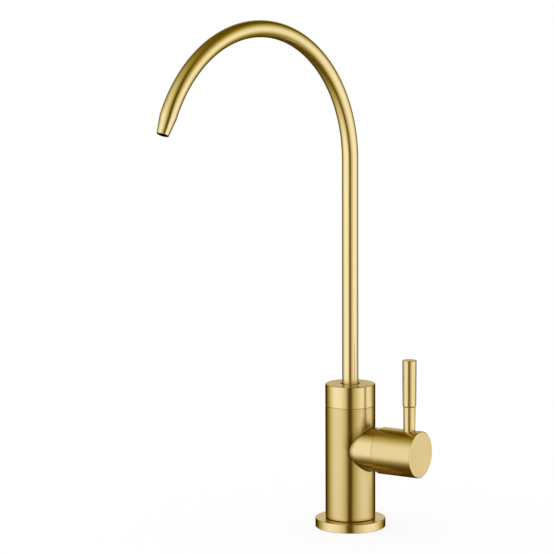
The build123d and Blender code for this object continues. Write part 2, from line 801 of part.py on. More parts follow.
# Lock nut: hexagon nut on the shank's thread, its corners turned off at both ends
nut_foot_z = steel_foot_z - nut_h
nut_corner_r = (shank_d + 2 * nut_wall) / sqrt(3)
nut_face_r = nut_corner_r - nut_chamfer
with BuildPart() as lock_nut:
    with BuildSketch(Plane.XY.offset(nut_foot_z)):
        RegularPolygon(nut_corner_r, 6)
    extrude(amount=nut_h)
    turned(
        [
            (shank_r + running_fit, nut_foot_z),
            (nut_face_r, nut_foot_z),
            (nut_corner_r, nut_foot_z + nut_chamfer / 2),
            (nut_corner_r, steel_foot_z - nut_chamfer / 2),
            (nut_face_r, steel_foot_z),
            (shank_r + running_fit, steel_foot_z),
        ],
        mode=Mode.INTERSECT,
    )
lock_nut.part.label = "lock_nut"
export_step(lock_nut.part, "parts/lock_nut.step")
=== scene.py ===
import json
from math import cos, pi, radians, sin
import bpy
import numpy as np
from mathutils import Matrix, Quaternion, Vector


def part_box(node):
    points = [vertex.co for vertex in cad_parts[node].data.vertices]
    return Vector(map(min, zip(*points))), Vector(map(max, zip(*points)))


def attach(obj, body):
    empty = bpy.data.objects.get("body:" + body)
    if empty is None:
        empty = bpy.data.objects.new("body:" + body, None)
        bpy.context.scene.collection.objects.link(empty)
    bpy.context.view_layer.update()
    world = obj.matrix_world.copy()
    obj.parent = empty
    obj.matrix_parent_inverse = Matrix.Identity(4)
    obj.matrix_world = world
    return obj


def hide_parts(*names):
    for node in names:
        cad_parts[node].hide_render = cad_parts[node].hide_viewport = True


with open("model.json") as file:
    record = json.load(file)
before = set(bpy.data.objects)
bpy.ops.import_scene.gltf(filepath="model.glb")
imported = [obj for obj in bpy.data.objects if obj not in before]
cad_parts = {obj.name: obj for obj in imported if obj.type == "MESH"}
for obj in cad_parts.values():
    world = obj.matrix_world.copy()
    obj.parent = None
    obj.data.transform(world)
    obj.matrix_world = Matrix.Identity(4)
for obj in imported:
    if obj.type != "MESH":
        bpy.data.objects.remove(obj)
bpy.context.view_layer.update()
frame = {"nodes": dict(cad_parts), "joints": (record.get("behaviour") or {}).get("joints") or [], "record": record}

# Threaded shank: a brass bar turned to an upper screw, a plain land and the fixing thread, drilled through
# for the water and turned down to the inlet stem at its foot. It screws into the body from below.
mm = 0.001
mounts = {mount["name"]: mount for mount in frame["record"]["mounts"]}
shank_low, shank_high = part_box("threaded_shank")
stem_radius = mounts["inlet_stem"]["dims"]["r_mm"] * mm
stem_wall = 0.975 * mm
stem_length = 20 * mm
shank_bore = stem_radius - stem_wall
shank_foot = shank_low.z + stem_length
shank_radius = 5.55 * mm
shank_sides = 56
land_radius = mounts["shank"]["dims"]["r_mm"] * mm
land_foot = -6 * mm
upper_screw_radius = shank_high.x
upper_screw_foot = 0.5 * mm
turned_edge = 0.6 * mm
thread_pitch = 1.27 * mm
thread_depth = 0.7 * mm
thread_flat = 0.125
rings_per_pitch = 14
crease_angle = radians(38)
brass_tones = (0.72, 0.49, 0.20, 1), (0.60, 0.40, 0.17, 1)
brass_gloss = 0.22, 0.36
tool_across = 2600
tool_along = 70
tool_detail = 3.0
tool_relief = 4e-6
tool_strength = 0.8
mix_sockets = {"RGBA": (6, 7, 2), "VECTOR": (4, 5, 1)}


def closed_skin(name, points, body):
    """A skin over a grid of points that closes on itself both ways: the outline runs along the first
    axis and comes back to its start, and the second axis goes once round. The UV map holds metres
    along the outline and metres round the first ring."""
    rows, columns = points.shape[:2]
    row, column = np.meshgrid(np.arange(rows), np.arange(columns), indexing="ij")
    next_row = (row + 1) % rows
    next_column = (column + 1) % columns
    corners = np.stack(
        [
            row * columns + column,
            row * columns + next_column,
            next_row * columns + next_column,
            next_row * columns + column,
        ],
        axis=-1,
    ).reshape(-1, 4)
    mesh = bpy.data.meshes.new(name)
    mesh.vertices.add(rows * columns)
    mesh.vertices.foreach_set("co", points.reshape(-1))
    mesh.loops.add(corners.size)
    mesh.loops.foreach_set("vertex_index", corners.reshape(-1))
    mesh.polygons.add(len(corners))
    mesh.polygons.foreach_set("loop_start", np.arange(0, corners.size, 4))
    mesh.update(calc_edges=True)
    steps = np.linalg.norm(np.roll(points, -1, axis=0) - points, axis=-1).mean(axis=1)
    along = np.concatenate([[0.0], np.cumsum(steps)])
    girth = np.linalg.norm(np.roll(points[0], -1, axis=0) - points[0], axis=-1).sum()
    around = np.linspace(0.0, girth, columns + 1)
    flat = np.stack(
        [
            np.stack([along[row], around[column]], axis=-1),
            np.stack([along[row], around[column + 1]], axis=-1),
            np.stack([along[row + 1], around[column + 1]], axis=-1),
            np.stack([along[row + 1], around[column]], axis=-1),
        ],
        axis=2,
    )
    mesh.uv_layers.new(name="metres").data.foreach_set("uv", flat.reshape(-1))
    mesh.shade_smooth()
    mesh.set_sharp_from_angle(angle=crease_angle)
    piece = bpy.data.objects.new(name, mesh)
    bpy.context.scene.collection.objects.link(piece)
    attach(piece, body)
    return piece


def once_round(sides):
    """Angles of even steps once round an axis."""
    return np.linspace(0, 2 * pi, sides, endpoint=False)


def turned(radii, heights, angles):
    """A turned form: each (radius, height) of the outline is carried round the upright axis. The radii
    are one column for a plain turned form, or a whole grid where they change round the axis."""
    radii = np.broadcast_to(radii, (len(heights), len(angles)))
    heights = np.broadcast_to(np.asarray(heights)[:, None], radii.shape)
    return np.stack([radii * np.cos(angles), radii * np.sin(angles), heights], axis=-1)


def thread_cut(heights, angles):
    """Depth of a 60 degree thread under its crest: a triangle wave of the height less the climb of the
    turn, cut flat over an eighth of the pitch at the crest and at the root."""
    climb = heights[:, None] / thread_pitch - angles[None, :] / (2 * pi)
    wave = 2 * np.abs(climb - np.floor(climb) - 0.5)
    return thread_depth * np.clip((wave - thread_flat) / (1 - 2 * thread_flat), 0, 1)


def node(tree, kind, inputs=(), **settings):
    """Add a node. An input is a plain value, or the output of another node that feeds it."""
    made = tree.nodes.new(kind)
    for name, value in settings.items():
        setattr(made, name, value)
    for socket, value in dict(inputs).items():
        if isinstance(value, bpy.types.NodeSocket):
            tree.links.new(value, made.inputs[socket])
        else:
            made.inputs[socket].default_value = value
    return made


def calculate(tree, operation, *values):
    """Result of one calculation on numbers."""
    return node(tree, "ShaderNodeMath", dict(enumerate(values)), operation=operation).outputs[0]


def calculate_vector(tree, operation, *values):
    """Result of one calculation on vectors: a number for a length or a dot product, or else a vector."""
    made = node(tree, "ShaderNodeVectorMath", dict(enumerate(values)), operation=operation)
    return made.outputs["Value" if operation in ("LENGTH", "DOT_PRODUCT") else "Vector"]


def mix(tree, share, first, second, kind="RGBA"):
    """Mix of two colours, or of two vectors: the first where the share is 0, the second where it is 1.
    The Mix node has its own sockets for each kind, which are told apart by their places alone."""
    start, end, result = mix_sockets[kind]
    mixed = node(tree, "ShaderNodeMix", {0: share, start: first, end: second}, data_type=kind)
    return mixed.outputs[result]


def new_finish(name):
    """A material with a bare Principled shader: the material, its node tree and the shader."""
    material = bpy.data.materials.new(name)
    material.use_nodes = True
    tree = material.node_tree
    return material, tree, tree.nodes["Principled BSDF"]


def lathe_lines(tree, across, along, place=(0, 0, 0), turn=(0, 0, 0)):
    """Coordinates of the lines that a lathe tool or a brushing belt leaves: close across the outline, as
    height plus radius, and long round the axis. Place and turn bring the piece's axis upright."""
    seat = node(tree, "ShaderNodeTexCoord")
    stood = node(
        tree,
        "ShaderNodeMapping",
        {"Vector": seat.outputs["Object"], "Location": place, "Rotation": turn},
        vector_type="TEXTURE",
    )
    parts = node(tree, "ShaderNodeSeparateXYZ", {0: stood.outputs[0]}).outputs
    level = node(tree, "ShaderNodeCombineXYZ", {"X": parts["X"], "Y": parts["Y"]})
    outline = calculate(tree, "ADD", parts["Z"], calculate_vector(tree, "LENGTH", level.outputs[0]))
    lines = node(tree, "ShaderNodeCombineXYZ", {"X": parts["X"], "Y": parts["Y"], "Z": outline})
    return calculate_vector(tree, "MULTIPLY", lines.outputs[0], (along, along, across))


def shade(tree, shader, pattern, tones, gloss):
    """Spread one pattern over a finish: between two tones of its colour, and from smooth to rough."""
    smooth, rough = gloss
    roughness = node(tree, "ShaderNodeMapRange", {"Value": pattern, "To Min": smooth, "To Max": rough})
    tree.links.new(mix(tree, pattern, *tones), shader.inputs["Base Color"])
    tree.links.new(roughness.outputs[0], shader.inputs["Roughness"])


def emboss(tree, shader, pattern, depth, strength):
    """Give a finish the relief of a pattern."""
    bump = node(tree, "ShaderNodeBump", {"Height": pattern, "Distance": depth, "Strength": strength})
    tree.links.new(bump.outputs[0], shader.inputs["Normal"])


def lathe_finish(name, tones, gloss, metal=1.0, place=(0, 0, 0), turn=(0, 0, 0)):
    """A piece left as it came off the lathe: tool lines in its tone, its gloss and its relief."""
    material, tree, shader = new_finish(name)
    lines = lathe_lines(tree, tool_across, tool_along, place, turn)
    tool = node(tree, "ShaderNodeTexNoise", {"Vector": lines, "Scale": 1.0, "Detail": tool_detail})
    shade(tree, shader, tool.outputs[0], tones, gloss)
    emboss(tree, shader, tool.outputs[0], tool_relief, tool_strength)
    shader.inputs["Metallic"].default_value = metal
    return material


fixing_rings = np.arange(land_foot - turned_edge, shank_foot, -thread_pitch / rings_per_pitch)
shank_angles = once_round(shank_sides)
run_in = np.clip((land_foot - turned_edge - fixing_rings) / thread_pitch, 0, 1)
thread_radii = shank_radius - thread_cut(fixing_rings, shank_angles) * run_in[:, None]
foot_cone = shank_radius - turned_edge + fixing_rings - shank_foot
thread_radii = np.minimum(thread_radii, foot_cone[:, None])
above_thread = np.array(
    [
        (shank_bore, shank_high.z),
        (upper_screw_radius - turned_edge, shank_high.z),
        (upper_screw_radius, shank_high.z - turned_edge),
        (upper_screw_radius, upper_screw_foot),
        (land_radius, upper_screw_foot),
        (land_radius, land_foot),
        (shank_radius, land_foot),
    ]
)
below_thread = np.array(
    [
        (shank_radius - turned_edge, shank_foot),
        (stem_radius, shank_foot),
        (stem_radius, shank_low.z + turned_edge),
        (stem_radius - turned_edge, shank_low.z),
        (shank_bore, shank_low.z),
    ]
)
shank_radii = np.concatenate(
    [
        np.repeat(above_thread[:, :1], shank_sides, axis=1),
        thread_radii,
        np.repeat(below_thread[:, :1], shank_sides, axis=1),
    ]
)
shank_heights = np.concatenate([above_thread[:, 1], fixing_rings, below_thread[:, 1]])
shank = closed_skin(
    "shank_with_thread",
    turned(shank_radii, shank_heights, -shank_angles),
    "tap_body",
)
shank.data.materials.append(lathe_finish("shank_brass", brass_tones, brass_gloss))
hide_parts("threaded_shank")

# Rubber seals: the flange's gasket and the O-rings on the shank, the seat, the headwork, the spindle and the
# spout. They are moulded black rubber, dull, with the fine grain of the mould, and sit in turned grooves.
rubber_tones = (0.030, 0.029, 0.028, 1), (0.016, 0.016, 0.016, 1)
rubber_gloss = 0.55, 0.80
rubber_grain = 1800
rubber_relief = 2e-5
mould_detail = 4.0
mould_strength = 0.7


def dress(material, *names):
    """Give the finish to the objects of these CAD nodes."""
    for name in names:
        slots = frame["nodes"][name].data.materials
        for index in range(len(slots)):
            slots[index] = material


def moulded_finish(name, tones, gloss, grain, relief, metal=0.0):
    """A moulded or pressed piece: an even grain in its tone, its gloss and its relief."""
    material, tree, shader = new_finish(name)
    place = node(tree, "ShaderNodeTexCoord").outputs["Object"]
    skin = node(tree, "ShaderNodeTexNoise", {"Vector": place, "Scale": grain, "Detail": mould_detail})
    shade(tree, shader, skin.outputs[0], tones, gloss)
    emboss(tree, shader, skin.outputs[0], relief, mould_strength)
    shader.inputs["Metallic"].default_value = metal
    return material


seal_rubber = moulded_finish("seal_rubber", rubber_tones, rubber_gloss, rubber_grain, rubber_relief)
dress(
    seal_rubber,
    "flange_gasket",
    "shank_oring",
    "seat_seal",
    "headwork_oring",
    "spindle_orings",
    "spout_orings",
)

# Base flange: a brass foot plate turned on a lathe, brushed round its axis and coated gold. It covers the
# deck hole and stands on the worktop.
flange_tones = (1.0, 0.82, 0.46, 1), (0.975, 0.79, 0.43, 1)
gold_edge_on = (0.6, 0.56, 0.48, 1)
gold_gloss = 0.22, 0.28
gold_stretch = 0.62
quarter_turn = 0.25
brush_across = 1500
brush_along = 22
brush_detail = 4.0
brush_relief = 2e-6
brush_strength = 0.35


def brushed_gold(finish, lines, tones, tangent=None, spin=quarter_turn):
    """Gold coat over brushed brass: brush lines in the tone, the gloss and the relief, highlights that
    are drawn out across the brushing, and a darker mirror where the surface is seen edge on."""
    material, tree, shader = finish
    brush = node(tree, "ShaderNodeTexNoise", {"Vector": lines, "Scale": 1.0, "Detail": brush_detail})
    shade(tree, shader, brush.outputs[0], tones, gold_gloss)
    emboss(tree, shader, brush.outputs[0], brush_relief, brush_strength)
    if tangent is not None:
        tree.links.new(tangent, shader.inputs["Tangent"])
    shader.inputs["Metallic"].default_value = 1.0
    shader.inputs["Specular Tint"].default_value = gold_edge_on
    shader.inputs["Anisotropic"].default_value = gold_stretch
    shader.inputs["Anisotropic Rotation"].default_value = spin
    return material


def upright_gold(name, tones, axis_x=0.0):
    """Brushed gold on a piece turned about an upright axis."""
    finish = new_finish(name)
    lines = lathe_lines(finish[1], brush_across, brush_along, place=(axis_x, 0, 0))
    return brushed_gold(finish, lines, tones)


dress(upright_gold("flange_gold", flange_tones), "base_flange")

# Body: a brass casting turned on the outside, with the valve's stub on one side, brushed round its axis and
# round the stub's, and coated gold. The flange, the shank, the valve and the collar all fix to it.
body_tones = (0.81, 0.64, 0.312, 1), (0.785, 0.61, 0.29, 1)
stub_tones = (0.907, 0.726, 0.387, 1), (0.882, 0.696, 0.362, 1)
body_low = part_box("body_shell")[0]
body_radius = -body_low.x
stub_radius = 13.5 * mm
saddle_room = 0.7 * mm
# Painted shade round the stub's corner: its reach on the stub and body, its widening, its dark tone.
corner_shade_on_stub = 1.6 * mm
corner_shade_on_body = 1.2 * mm
corner_shade_widening = 0.35
painted_corner_shade = (0.42, 0.31, 0.09, 1)
foot_break = 0.6 * mm
foot_joint = body_low.z + foot_break
# Painted shade in the joint at the foot: its band below the chamfer's top, and its dark tone.
foot_shade_band = 0.3 * mm
painted_joint_shade = (0.36, 0.25, 0.07, 1)
joints = {joint["name"]: joint for joint in frame["joints"]}
valve_seat = (0, 0, joints["handle_turn"]["pos_m"][2])
valve_turn = (0, radians(90), 0)


def fade(tree, value, start, end, ease="LINEAR"):
    """Mask that goes from 0, where the value is at its start, to 1, where it is at its end."""
    limits = {"Value": value, "From Min": start, "From Max": end}
    return node(tree, "ShaderNodeMapRange", limits, interpolation_type=ease).outputs[0]


def paint_shade_or_highlight(finish, mask, tone):
    """Paint light or shade over a finish as another tone, where the mask is 1: painted shade in a corner,
    in a fine joint and inside a tube, where little light comes in, or a painted highlight on an edge
    that catches the light."""
    tree, shader = finish[1:]
    brushed = shader.inputs["Base Color"].links[0].from_socket
    tree.links.new(mix(tree, mask, brushed, tone), shader.inputs["Base Color"])


def about_valve(tree):
    """Where a point lies about the valve's axis: its offsets from the axis's middle in the body, and its
    distance from the axis."""
    place = node(tree, "ShaderNodeTexCoord").outputs["Object"]
    centred = calculate_vector(tree, "SUBTRACT", place, valve_seat)
    across = calculate_vector(tree, "MULTIPLY", centred, (0, 1, 1))
    offsets = node(tree, "ShaderNodeSeparateXYZ", {0: centred}).outputs
    return offsets, calculate_vector(tree, "LENGTH", across)


def saddle_shade_mask(tree, radius):
    """Mask of the painted shade in the corner between stub and body. On the stub it fades with the
    radius beyond the body's, and on the body with the distance from the valve's axis beyond the stub's
    radius, over a width that grows with the height above that axis."""
    offsets, from_axis = about_valve(tree)
    above = calculate(tree, "MAXIMUM", offsets["Z"], 0.0)
    reach = calculate(tree, "MULTIPLY_ADD", above, corner_shade_widening, stub_radius + corner_shade_on_body)
    near_stub = fade(tree, from_axis, reach, stub_radius, "SMOOTHSTEP")
    near_body = fade(tree, radius, body_radius + corner_shade_on_stub, body_radius, "SMOOTHSTEP")
    stub_side = calculate(tree, "GREATER_THAN", offsets["X"], 0.0)
    near_both = calculate(tree, "MULTIPLY", near_stub, near_body)
    return calculate(tree, "MULTIPLY", near_both, stub_side)


def body_gold(name):
    """Brushed gold on the body: lines round the upright axis, and round the valve's axis, a shade
    lighter, wherever the surface stands outside the body's own radius, which is the stub. Painted
    shade, a darker tone, lies in the corner round the stub and in the joint at the foot."""
    finish = new_finish(name)
    tree = finish[1]
    place = node(tree, "ShaderNodeTexCoord").outputs["Object"]
    radius = calculate_vector(tree, "LENGTH", calculate_vector(tree, "MULTIPLY", place, (1, 1, 0)))
    stub = fade(tree, radius, body_radius, body_radius + saddle_room)
    round_body = lathe_lines(tree, brush_across, brush_along)
    round_stub = lathe_lines(tree, brush_across, brush_along, valve_seat, valve_turn)
    lines = mix(tree, stub, round_body, round_stub, "VECTOR")
    body_way = node(tree, "ShaderNodeTangent", direction_type="RADIAL", axis="Z").outputs[0]
    stub_way = node(tree, "ShaderNodeTangent", direction_type="RADIAL", axis="X").outputs[0]
    tangent = mix(tree, stub, body_way, stub_way, "VECTOR")
    tones = [mix(tree, stub, *pair) for pair in zip(body_tones, stub_tones)]
    brushed_gold(finish, lines, tones, tangent)
    # Painted shade: a darker tone in the corner round the stub.
    paint_shade_or_highlight(finish, saddle_shade_mask(tree, radius), painted_corner_shade)
    # Painted shade: a dark tone on the foot chamfer, in the joint with the flange.
    height = node(tree, "ShaderNodeSeparateXYZ", {0: place}).outputs["Z"]
    paint_shade_or_highlight(finish, fade(tree, height, foot_joint, foot_joint - foot_shade_band), painted_joint_shade)
    return finish[0]


dress(body_gold("body_gold"), "body_shell")

# Quarter-turn headwork: a brass body screwed into the stub, a brass spindle with a steel clip, and two
# lapped white ceramic discs that open and close the water way.
headwork_gloss = 0.20, 0.34
ceramic_tones = (0.90, 0.89, 0.86, 1), (0.86, 0.85, 0.82, 1)
ceramic_gloss = 0.08, 0.18
ceramic_grain = 1400
ceramic_relief = 1e-6
steel_tones = (0.62, 0.615, 0.60, 1), (0.53, 0.525, 0.51, 1)
clip_gloss = 0.26, 0.40
clip_grain = 2200
clip_relief = 3e-6
dress(
    lathe_finish("headwork_brass", brass_tones, headwork_gloss, place=valve_seat, turn=valve_turn),
    "headwork_body",
    "valve_spindle",
)
dress(
    moulded_finish("lapped_ceramic", ceramic_tones, ceramic_gloss, ceramic_grain, ceramic_relief),
    "fixed_ceramic_disc",
    "moving_ceramic_disc",
)
dress(
    moulded_finish("clip_steel", steel_tones, clip_gloss, clip_grain, clip_relief, metal=1.0),
    "spindle_clip",
)

# Spout seat: a white acetal bush and slip washer in which the spout turns, and the brass sleeve brazed to
# the tube's foot. They drop into the body's socket and the collar screws down over them.
acetal_tones = (0.86, 0.85, 0.82, 1), (0.80, 0.79, 0.755, 1)
acetal_gloss = 0.36, 0.50
dress(
    lathe_finish("turned_acetal", acetal_tones, acetal_gloss, metal=0.0),
    "swivel_bush",
    "thrust_washer",
)
dress(lathe_finish("sleeve_brass", brass_tones, brass_gloss), "spout_end_sleeve")

# Spout collar: the turned top of the body, screwed into it with a fine seam between them, brushed a shade
# lighter and coated gold. The spout rises through its middle.
collar_tones = (0.95, 0.775, 0.425, 1), (0.925, 0.745, 0.395, 1)
dress(upright_gold("collar_gold", collar_tones), "spout_collar")

# Spout: a 10 mm brass tube, brushed round its section, bent to a gooseneck, drawn in at its end to a short
# nozzle and coated gold. It turns all the way round in its seat.
tube_radius = 5 * mm
tube_bore = 4 * mm
tube_sides = 72
arch_radius = 82 * mm
arch_sweep = radians(155)
nozzle_length = 10.9 * mm
nozzle_radius = 3.55 * mm
nozzle_bore = 2.75 * mm
nozzle_wall = nozzle_radius - nozzle_bore
nozzle_lip = 0.25 * mm
spout_yaw = radians(-100)
rise_rings = 40
bend_rings = 120
bore_rings = 60
tube_brush_across = 3200
tube_tones = (1.0, 0.835, 0.485, 1), (0.985, 0.815, 0.46, 1)
# Painted shade on the nozzle's cut end and inside the bore: a near-black tone.
painted_bore_shade = (0.05, 0.033, 0.010, 1)
tube_low, tube_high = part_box("spout_tube")
arch_height = tube_high.z - arch_radius - tube_radius
rise_end = arch_height - tube_low.z
bend_end = rise_end + arch_radius * arch_sweep
tip_end = bend_end + nozzle_length


def gooseneck(lengths, radii, angles):
    """A round section carried along the gooseneck: straight up, then round the arch in the spout's
    upright plane, then straight on through the nozzle. Each ring stands square to the path."""
    bend = np.clip((lengths - rise_end) / arch_radius, 0, arch_sweep)
    up_run = np.minimum(lengths, rise_end)
    end_run = np.maximum(lengths - bend_end, 0)
    out = arch_radius * (1 - np.cos(bend)) + end_run * np.sin(bend)
    height = tube_low.z + up_run + arch_radius * np.sin(bend) + end_run * np.cos(bend)
    outward = np.array([cos(spout_yaw), sin(spout_yaw), 0])
    sideways = np.array([-sin(spout_yaw), cos(spout_yaw), 0])
    upward = np.array([0, 0, 1])
    centre = out[:, None] * outward + height[:, None] * upward
    inward = np.cos(bend)[:, None] * outward - np.sin(bend)[:, None] * upward
    spoke = inward[:, None, :] * np.cos(angles)[None, :, None] + sideways * np.sin(angles)[None, :, None]
    return centre[:, None, :] + radii[:, None, None] * spoke


outer_run = np.concatenate(
    [
        [0],
        np.linspace(nozzle_lip, rise_end, rise_rings),
        np.linspace(rise_end, bend_end, bend_rings)[1:],
        [tip_end - nozzle_lip],
    ]
)
outer_radii = np.interp(outer_run, [bend_end, tip_end], [tube_radius, nozzle_radius])
lip_run = np.array([tip_end, tip_end, tip_end - nozzle_lip])
lip_radii = np.array([nozzle_radius - nozzle_lip, nozzle_bore + nozzle_lip, nozzle_bore])
bore_run = np.concatenate([np.linspace(bend_end, rise_end, bore_rings), [0]])
bore_radii = np.full(len(bore_run), tube_bore)
tube = closed_skin(
    "gooseneck_tube",
    gooseneck(
        np.concatenate([outer_run, lip_run, bore_run]),
        np.concatenate([outer_radii, lip_radii, bore_radii]),
        once_round(tube_sides),
    ),
    "spout",
)


def tube_gold(name):
    """Brushed gold on the tube, with its lines round the section wherever the tube goes, and painted
    shade, a near-black tone, on its cut end and inside."""
    finish = new_finish(name)
    tree = finish[1]
    metres = node(tree, "ShaderNodeUVMap", uv_map="metres").outputs[0]
    lines = calculate_vector(tree, "MULTIPLY", metres, (tube_brush_across, brush_along, 1))
    lengthways = node(tree, "ShaderNodeTangent", direction_type="UV_MAP", uv_map="metres").outputs[0]
    brushed_gold(finish, lines, tube_tones, lengthways, spin=0.0)
    # Painted shade: the near-black tone from the nozzle's cut end on through the bore.
    along = node(tree, "ShaderNodeSeparateXYZ", {0: metres}).outputs["X"]
    paint_shade_or_highlight(finish, fade(tree, along, tip_end, tip_end + nozzle_wall), painted_bore_shade)
    return finish[0]


tube.data.materials.append(tube_gold("tube_gold"))
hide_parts("spout_tube")

# Handle: a turned brass barrel that caps the stub, a thin rod screwed into its top and a thicker grip pushed
# over the rod, all brushed round their axes and coated gold. A steel grub screw fixes it on the spindle.
lever_low, lever_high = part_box("lever_grip")
lever_x = (lever_low.x + lever_high.x) / 2
lever_tones = (0.92, 0.745, 0.40, 1), (0.895, 0.715, 0.375, 1)
barrel_tones = (0.845, 0.665, 0.33, 1), (0.82, 0.635, 0.305, 1)
barrel_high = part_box("handle_barrel")[1]
barrel_radius = barrel_high.y
rim_round = 0.6 * mm
# Painted highlight on the rounded rim of the handle's end: where it starts, its fade, its tone.
rim_highlight_fade = 0.1 * mm
rim_highlight_start = barrel_high.x + barrel_radius - rim_round
painted_rim_highlight = (1.0, 0.86, 0.53, 1)
grub_low, grub_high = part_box("handle_grub_screw")
grub_x = (grub_low.x + grub_high.x) / 2
grub_gloss = 0.26, 0.42


def barrel_gold(name):
    """Brushed gold on the barrel, with its lines round the valve's axis. The rounded rim of its end, where
    the way along the axis plus the distance from it is largest, has a painted highlight in a lighter
    tone."""
    finish = new_finish(name)
    tree = finish[1]
    barrel_way = node(tree, "ShaderNodeTangent", direction_type="RADIAL", axis="X").outputs[0]
    lines = lathe_lines(tree, brush_across, brush_along, valve_seat, valve_turn)
    brushed_gold(finish, lines, barrel_tones, barrel_way)
    # Painted highlight: a lighter tone on the rounded rim of the handle's end.
    offsets, from_axis = about_valve(tree)
    outward = calculate(tree, "ADD", offsets["X"], from_axis)
    paint_shade_or_highlight(finish, fade(tree, outward, rim_highlight_start, rim_highlight_start + rim_highlight_fade), painted_rim_highlight)
    return finish[0]


dress(barrel_gold("barrel_gold"), "handle_barrel")
dress(upright_gold("lever_gold", lever_tones, lever_x), "lever_rod", "lever_grip")
dress(
    lathe_finish("grub_steel", steel_tones, grub_gloss, place=(grub_x, 0, 0)),
    "handle_grub_screw",
)

# Deck fixing: a rubber washer, a stamped steel washer and a hexagon brass nut on the fixing thread, which
# clamp the tap from under the worktop. The nut is cut from bar, threaded, and turned off at its corners.
washer_bore = 6.3 * mm
washer_sides = 96
steel_washer_edge = 0.35 * mm
rubber_washer_edge = 0.7 * mm
round_steps = 5
washer_gloss = 0.24, 0.40
nut_low, nut_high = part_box("lock_nut")
nut_corner = nut_high.x
nut_flat = nut_high.y
nut_bore = 5.6 * mm
nut_thread_share = 0.6
nut_thread_rings = 72
nut_corner_cut = 1.0 * mm
nut_cone_slope = 2
nut_cone_steps = 8
nut_mouth = 0.5 * mm
nut_sides = 96
nut_gloss = 0.22, 0.38


def ring_points(name, bore_radius, edge, angles):
    """A flat ring with rounded edges: a quarter round is carried into each of the four corners of its
    section, and the section is carried round the upright axis."""
    low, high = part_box(name)
    quarter = np.linspace(0, pi / 2, round_steps)
    corners = [
        (high.x - edge, high.z - edge, pi / 2 - quarter),
        (high.x - edge, low.z + edge, -quarter),
        (bore_radius + edge, low.z + edge, -pi / 2 - quarter),
        (bore_radius + edge, high.z - edge, pi - quarter),
    ]
    radii = np.concatenate([radius + edge * np.cos(bend) for radius, height, bend in corners])
    heights = np.concatenate([height + edge * np.sin(bend) for radius, height, bend in corners])
    return turned(radii[:, None], heights, angles)


def hexagon_nut(angles):
    """A hexagon nut: outside, the radius is the flat's distance over the cosine of the angle from the
    middle of that flat, cut by a cone at both ends; inside runs the thread, and it opens at both mouths."""
    sixth = pi / 3
    hexagon = nut_flat / np.cos(np.mod(angles, sixth) - sixth / 2)
    depth = np.linspace(0, nut_corner_cut / nut_cone_slope, nut_cone_steps)
    outer_heights = np.concatenate([nut_high.z - depth, nut_low.z + depth[::-1]])
    to_face = np.minimum(nut_high.z - outer_heights, outer_heights - nut_low.z)
    cone = nut_corner - nut_corner_cut + nut_cone_slope * to_face
    outside = np.minimum(hexagon[None, :], cone[:, None])
    inner_heights = np.linspace(nut_low.z, nut_high.z, nut_thread_rings)
    to_mouth = np.minimum(nut_high.z - inner_heights, inner_heights - nut_low.z)
    opening = np.clip(nut_mouth - to_mouth, 0, None)
    thread = nut_thread_share * thread_cut(inner_heights, angles)
    inside = nut_bore + np.maximum(thread, opening[:, None])
    return turned(
        np.concatenate([outside, inside]),
        np.concatenate([outer_heights, inner_heights]),
        angles,
    )


washer_angles = -once_round(washer_sides)
rubber_washer = closed_skin(
    "moulded_washer",
    ring_points("deck_rubber_washer", washer_bore, rubber_washer_edge, washer_angles),
    "deck_clamp",
)
rubber_washer.data.materials.append(seal_rubber)
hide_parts("deck_rubber_washer")
steel_washer = closed_skin(
    "stamped_washer",
    ring_points("deck_steel_washer", washer_bore, steel_washer_edge, washer_angles),
    "deck_clamp",
)
steel_washer.data.materials.append(lathe_finish("washer_steel", steel_tones, washer_gloss))
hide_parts("deck_steel_washer")
nut = closed_skin(
    "threaded_nut",
    hexagon_nut(-once_round(nut_sides)),
    "deck_clamp",
)
nut.data.materials.append(lathe_finish("nut_brass", brass_tones, nut_gloss))
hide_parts("lock_nut")

# Worktop: a plain white floor at the deck plane, which carries the tap's soft shadow. It is clear from
# below, so that the shank and its nut can be looked at there, and the metal doesn't mirror it.
floor_half = 60.0
paper_white = (1, 1, 1, 1)
paper_glow = 0.8
card_corners = [(-1, -1), (1, -1), (1, 1), (-1, 1)]
floor_mesh = bpy.data.meshes.new("floor")
floor_mesh.from_pydata([(floor_half * x, floor_half * y, 0) for x, y in card_corners], [], [(0, 1, 2, 3)])
floor = bpy.data.objects.new("floor", floor_mesh)
bpy.context.scene.collection.objects.link(floor)
floor.visible_glossy = False


def floor_paper(name):
    """White paper: its lit surface, with the shadow, under a plain white glow for the rays of the camera,
    of mirrors and of glass. Its underside is clear."""
    material, tree, shader = new_finish(name)
    shader.inputs["Base Color"].default_value = paper_white
    shader.inputs["Roughness"].default_value = 1.0
    shader.inputs["Specular IOR Level"].default_value = 0.0
    ray = node(tree, "ShaderNodeLightPath").outputs
    seen = calculate(tree, "MAXIMUM", ray["Is Camera Ray"], ray["Is Glossy Ray"])
    seen = calculate(tree, "MAXIMUM", seen, ray["Is Transmission Ray"])
    share = calculate(tree, "MULTIPLY", seen, paper_glow)
    glow = node(tree, "ShaderNodeEmission", {"Color": paper_white, "Strength": 1.0}).outputs[0]
    top = node(tree, "ShaderNodeMixShader", {0: share, 1: shader.outputs[0], 2: glow}).outputs[0]
    below = node(tree, "ShaderNodeNewGeometry").outputs["Backfacing"]
    clear = node(tree, "ShaderNodeBsdfTransparent").outputs[0]
    sheet = node(tree, "ShaderNodeMixShader", {0: below, 1: top, 2: clear}).outputs[0]
    tree.links.new(sheet, tree.nodes["Material Output"].inputs["Surface"])
    return material


floor_mesh.materials.append(floor_paper("floor_paper"))

